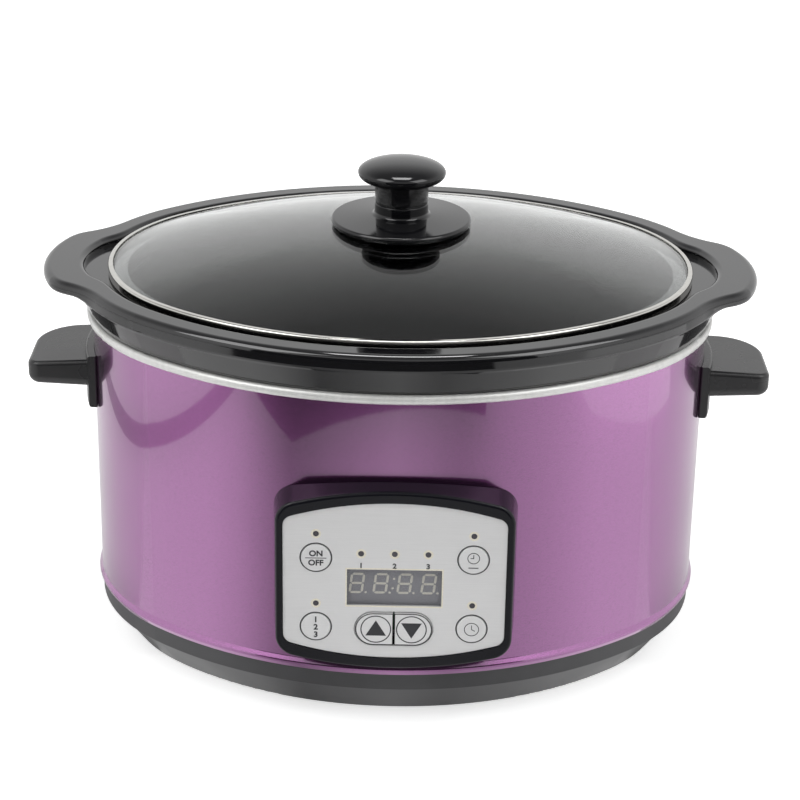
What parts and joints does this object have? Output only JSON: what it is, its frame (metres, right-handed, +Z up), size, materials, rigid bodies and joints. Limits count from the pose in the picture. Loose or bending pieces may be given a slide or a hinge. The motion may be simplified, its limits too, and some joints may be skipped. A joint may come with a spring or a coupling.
{
  "type": "slow cooker",
  "caption": "Oval digital slow cooker with a lift-out stoneware crock, domed glass lid with knob, side handles and a flat front control panel with push buttons.",
  "frame": {"origin": "centre of the oval footprint on the plane that the feet stand on", "axes": "+X to the right-hand handle, -Y to the control panel, +Z up"},
  "size_m": [0.419, 0.29, 0.2828],
  "materials": {
    "shell_paint": "gloss metallic",
    "liner_steel": "bright",
    "base_plastic": "satin",
    "foot_rubber": "matt",
    "plated_steel": "zinc plated",
    "shield_sheet": "dull",
    "heater_element": "heat tinted",
    "crock_glaze": "gloss",
    "lid_glass": "clear",
    "lid_steel": "polished",
    "knob_plastic": "gloss",
    "seal_silicone": "matt",
    "handle_plastic": "satin",
    "bezel_plastic": "gloss",
    "faceplate_silver": "fine brushed",
    "window_smoke": "clear",
    "display_block": "satin",
    "lamp_lens": "gloss",
    "button_silver": "satin metallic",
    "board_laminate": "satin",
    "switch_plastic": "matt",
    "relay_plastic": "satin",
    "transformer_tape": "satin",
    "capacitor_sleeve": "gloss",
    "terminal_plastic": "satin",
    "sensor_steel": "satin",
    "fuse_sleeve": "woven sleeve",
    "gland_plastic": "satin",
    "cable_jacket": "silicone sleeve",
    "ribbon_jacket": "satin"
  },
  "bodies": {
    "housing": {"base": "base_plastic", "foot_rear_right": "foot_rubber", "foot_rear_left": "foot_rubber", "foot_front_left": "foot_rubber", "foot_front_right": "foot_rubber", "tie_post_rear_right": "plated_steel", "tie_post_rear_left": "plated_steel", "tie_post_front_left": "plated_steel", "tie_post_front_right": "plated_steel", "base_screws": "plated_steel", "heat_shield": "shield_sheet", "outer_shell": "shell_paint", "heating_liner": "liner_steel", "heater_band": "heater_element", "heater_strap": "plated_steel", "strap_screw": "plated_steel", "handle_right": "handle_plastic", "handle_left": "handle_plastic", "handle_screws": "plated_steel", "panel_bezel": "bezel_plastic", "panel_screws": "plated_steel", "panel_faceplate": "faceplate_silver", "display_window": "window_smoke", "display_module": "display_block", "indicator_lamps": "lamp_lens", "control_board": "board_laminate", "board_screws": "plated_steel", "push_switches": "switch_plastic", "power_board": "board_laminate", "power_relay": "relay_plastic", "transformer": "transformer_tape", "filter_capacitor": "capacitor_sleeve", "terminal_block": "terminal_plastic", "temperature_sensor": "sensor_steel", "thermal_fuse": "fuse_sleeve", "fuse_clip": "plated_steel", "cord_gland": "gland_plastic", "gland_nut": "gland_plastic", "heater_leads": "cable_jacket", "ribbon_cable": "ribbon_jacket"},
    "crock": {"crock": "crock_glaze"},
    "lid": {"lid_glass": "lid_glass", "lid_rim": "lid_steel", "knob_gasket": "seal_silicone", "knob_skirt": "knob_plastic", "lid_knob": "knob_plastic", "knob_washer": "lid_steel", "knob_screw": "lid_steel"},
    "button_on_off": {"button_on_off": "button_silver"},
    "button_mode": {"button_mode": "button_silver"},
    "button_delay": {"button_delay": "button_silver"},
    "button_time": {"button_time": "button_silver"},
    "button_up": {"button_up": "button_silver"},
    "button_down": {"button_down": "button_silver"}
  },
  "joints": [
    {"name": "crock_lift", "type": "slide", "parent": "housing", "child": "crock", "axis": [0, 0, 1], "range_m": [0, 0.18]},
    {"name": "lid_lift", "type": "slide", "parent": "crock", "child": "lid", "axis": [0, 0, 1], "range_m": [0, 0.12]},
    {"name": "button_on_off_press", "type": "slide", "parent": "housing", "child": "button_on_off", "axis": [0, 1, 0], "range_m": [0, 0.0008], "stiffness_N_per_m": 800},
    {"name": "button_mode_press", "type": "slide", "parent": "housing", "child": "button_mode", "axis": [0, 1, 0], "range_m": [0, 0.0008], "stiffness_N_per_m": 800},
    {"name": "button_delay_press", "type": "slide", "parent": "housing", "child": "button_delay", "axis": [0, 1, 0], "range_m": [0, 0.0008], "stiffness_N_per_m": 800},
    {"name": "button_time_press", "type": "slide", "parent": "housing", "child": "button_time", "axis": [0, 1, 0], "range_m": [0, 0.0008], "stiffness_N_per_m": 800},
    {"name": "button_up_press", "type": "slide", "parent": "housing", "child": "button_up", "axis": [0, 1, 0], "range_m": [0, 0.0008], "stiffness_N_per_m": 800},
    {"name": "button_down_press", "type": "slide", "parent": "housing", "child": "button_down", "axis": [0, 1, 0], "range_m": [0, 0.0008], "stiffness_N_per_m": 800}
  ]
}
